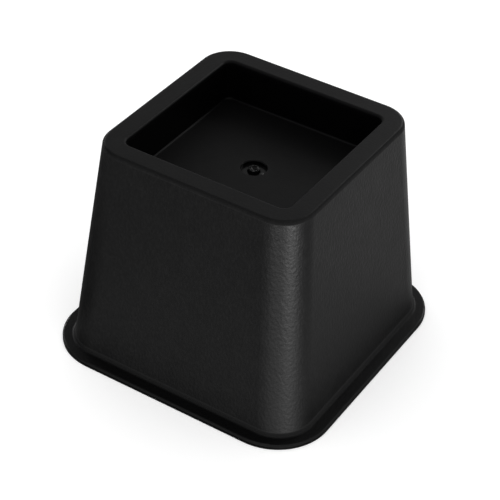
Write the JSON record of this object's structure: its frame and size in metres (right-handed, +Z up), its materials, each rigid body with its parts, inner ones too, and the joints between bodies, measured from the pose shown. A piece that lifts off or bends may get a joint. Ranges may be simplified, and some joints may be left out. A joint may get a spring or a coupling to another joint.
{
  "type": "bed riser",
  "caption": "Square moulded riser with leaning walls and a base flange; a socket on top takes a furniture leg, and the ribbed underside is open so that it stacks.",
  "frame": {"origin": "centre of the base, on the ground", "axes": "+Z up through the middle of the socket, X and Y square to the walls"},
  "size_m": [0.1192, 0.1192, 0.0934],
  "materials": {
    "black_plastic": "fine spark-eroded mould grain, satin"
  },
  "bodies": {
    "root": {"riser_body": "black_plastic"}
  },
  "joints": []
}
